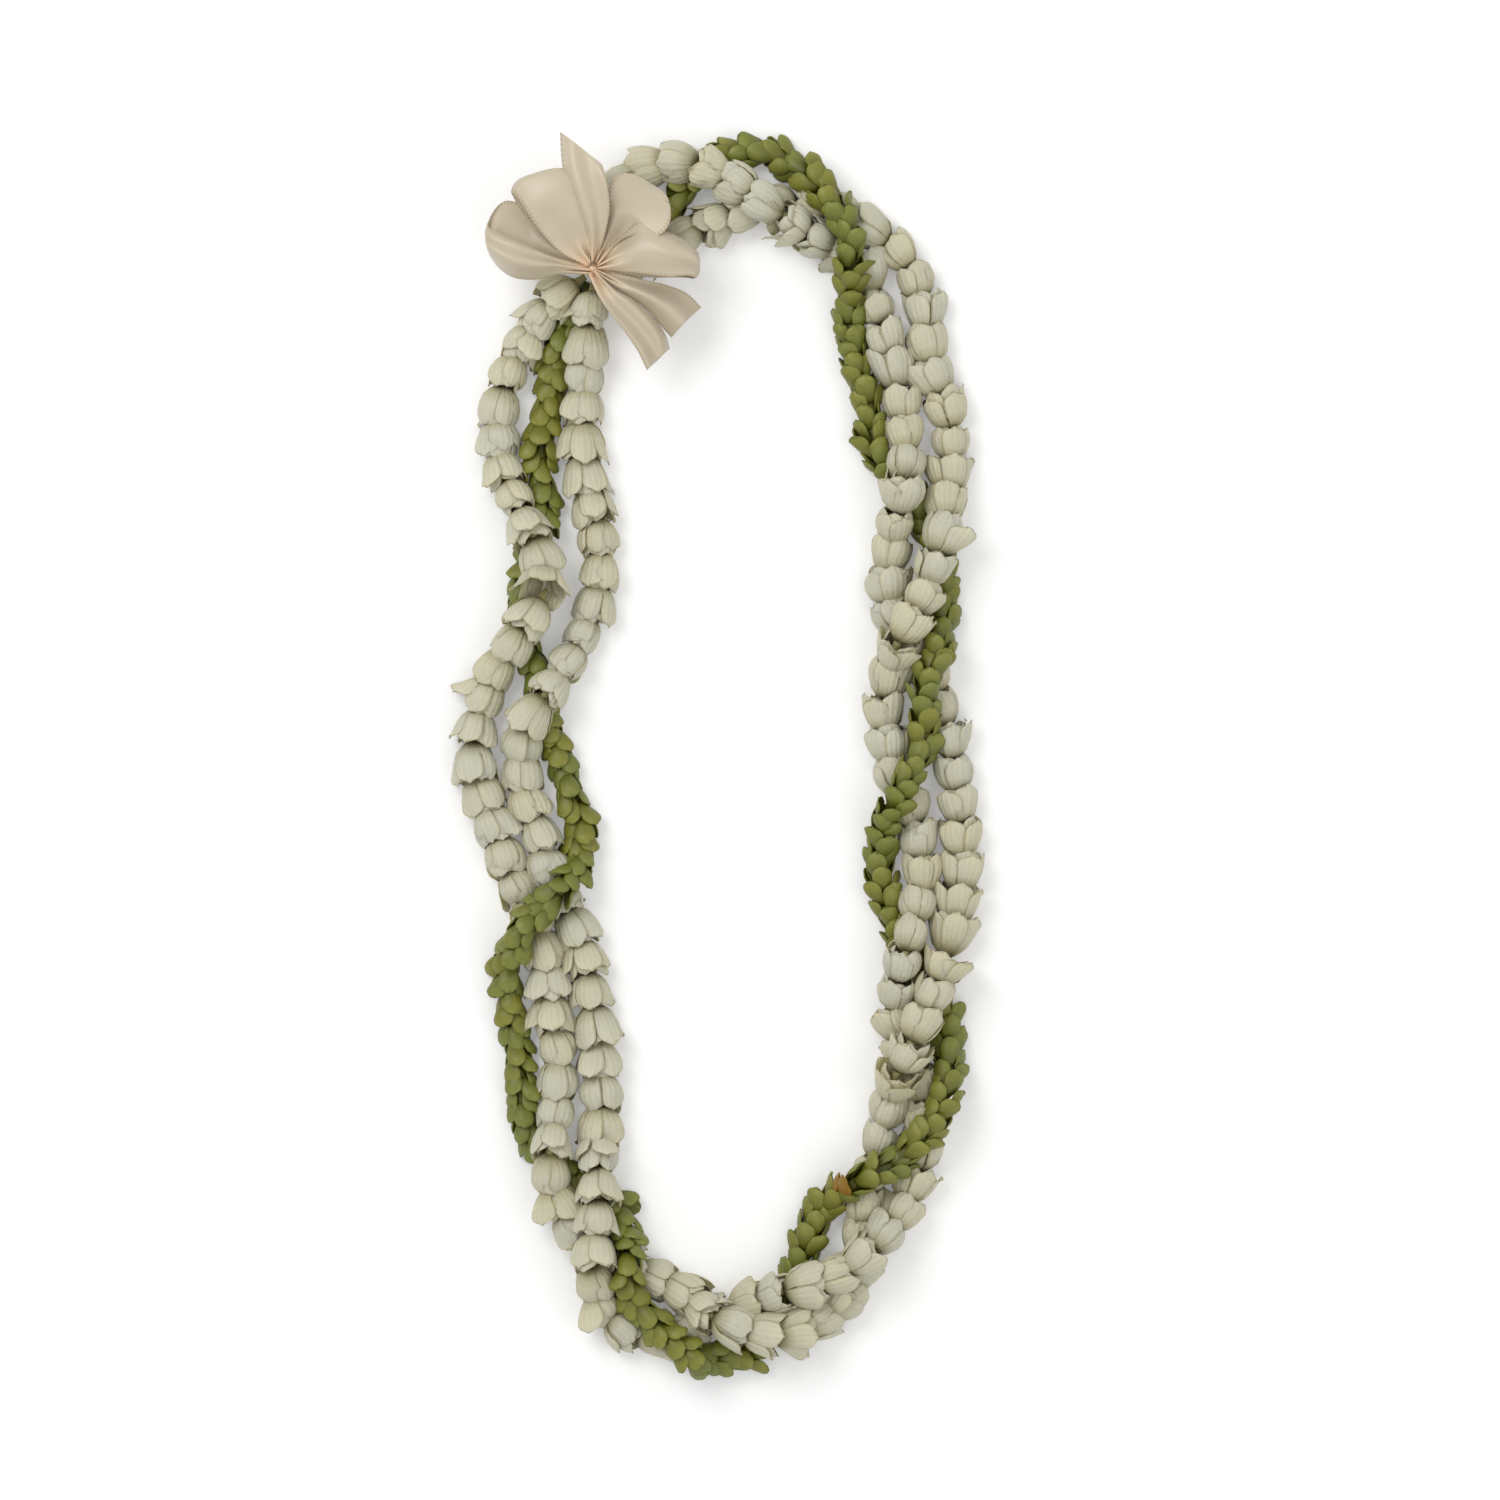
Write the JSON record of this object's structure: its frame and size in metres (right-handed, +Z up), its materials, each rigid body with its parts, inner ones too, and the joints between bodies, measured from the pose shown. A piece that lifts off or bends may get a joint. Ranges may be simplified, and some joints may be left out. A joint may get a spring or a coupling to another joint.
{
  "type": "fresh flower lei",
  "caption": "Long lei of strung blossoms: two white strands and a slimmer green strand twisted together, tied with a satin ribbon bow and laid flat.",
  "frame": {"origin": "on the surface that the lei lies on, under the middle of its outline", "axes": "+Y along the lei, towards the end with the bow; +X across it, to the right as seen from above with the bow at the top left; +Z up"},
  "size_m": [0.195, 0.4636, 0.0289],
  "materials": {
    "white_petal": "fresh ivory petals, matte and slightly waxy, with fine veins and khaki edges",
    "green_petal": "fresh yellow-green petals, satin, darker between the lobes",
    "thread": "natural cotton string, matt",
    "ribbon": "ivory satin ribbon with a woven edge and a blush towards the knot"
  },
  "bodies": {
    "root": {"white_outer_flowers_01": "white_petal", "white_outer_flowers_02": "white_petal", "white_outer_flowers_03": "white_petal", "white_outer_flowers_04": "white_petal", "white_outer_flowers_05": "white_petal", "white_outer_flowers_06": "white_petal", "white_outer_flowers_07": "white_petal", "white_outer_flowers_08": "white_petal", "white_outer_flowers_09": "white_petal", "white_outer_flowers_10": "white_petal", "white_outer_flowers_11": "white_petal", "white_outer_flowers_12": "white_petal", "white_outer_flowers_13": "white_petal", "white_outer_flowers_14": "white_petal", "white_outer_flowers_15": "white_petal", "white_inner_flowers_01": "white_petal", "white_inner_flowers_02": "white_petal", "white_inner_flowers_03": "white_petal", "white_inner_flowers_04": "white_petal", "white_inner_flowers_05": "white_petal", "white_inner_flowers_06": "white_petal", "white_inner_flowers_07": "white_petal", "white_inner_flowers_08": "white_petal", "white_inner_flowers_09": "white_petal", "white_inner_flowers_10": "white_petal", "white_inner_flowers_11": "white_petal", "white_inner_flowers_12": "white_petal", "white_inner_flowers_13": "white_petal", "white_inner_flowers_14": "white_petal", "white_inner_flowers_15": "white_petal", "green_flowers_01": "green_petal", "green_flowers_02": "green_petal", "green_flowers_03": "green_petal", "green_flowers_04": "green_petal", "green_flowers_05": "green_petal", "green_flowers_06": "green_petal", "green_flowers_07": "green_petal", "green_flowers_08": "green_petal", "green_flowers_09": "green_petal", "green_flowers_10": "green_petal", "green_flowers_11": "green_petal", "green_flowers_12": "green_petal", "green_flowers_13": "green_petal", "green_flowers_14": "green_petal", "green_flowers_15": "green_petal", "white_outer_thread": "thread", "white_inner_thread": "thread", "green_thread": "thread", "thread_knot": "thread", "bow_tie": "thread", "bow_gather": "ribbon", "bow_loop_left": "ribbon", "bow_loop_upper_left": "ribbon", "bow_loop_upper_right": "ribbon", "bow_loop_right": "ribbon", "bow_tail_upright": "ribbon", "bow_tail_right": "ribbon", "bow_tail_lower": "ribbon"}
  },
  "joints": []
}
